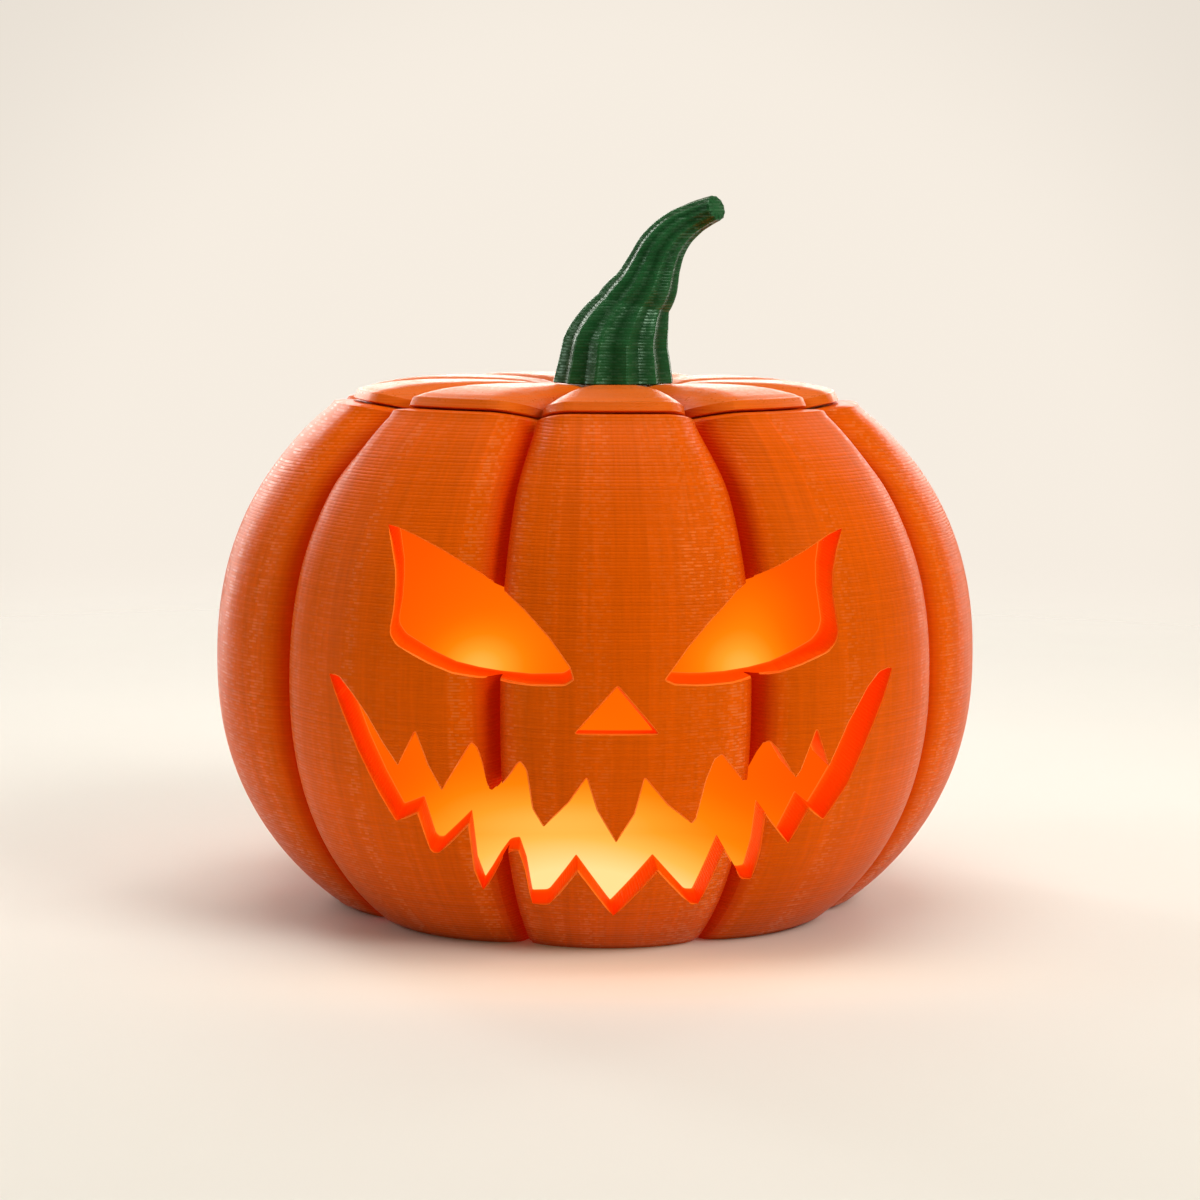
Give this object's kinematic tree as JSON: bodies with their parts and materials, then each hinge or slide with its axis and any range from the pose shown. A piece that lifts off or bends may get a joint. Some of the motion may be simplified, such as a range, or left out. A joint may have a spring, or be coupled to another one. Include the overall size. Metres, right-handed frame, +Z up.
{
  "type": "3D-printed plastic carved pumpkin lantern",
  "caption": "Hollow lobed pumpkin lantern of printed plastic with a cut-through face, a loose lobed lid and a ribbed curved stem.",
  "frame": {"origin": "middle of the flat base, on the surface the lantern stands on", "axes": "+Z up through the opening under the lid, -Y out of the middle of the carved face, +X towards the side the stem leans to"},
  "size_m": [0.1182, 0.1183, 0.1111],
  "materials": {
    "orange_plastic": "printed orange plastic, satin, fine horizontal layer lines",
    "orange_lid_plastic": "the same orange plastic, satin, with layer steps on its shallow slopes",
    "green_plastic": "printed dark green plastic, semi-gloss, fine layer lines"
  },
  "bodies": {
    "root": {"body": "orange_plastic", "lid": "orange_lid_plastic", "stem": "green_plastic"}
  },
  "joints": []
}
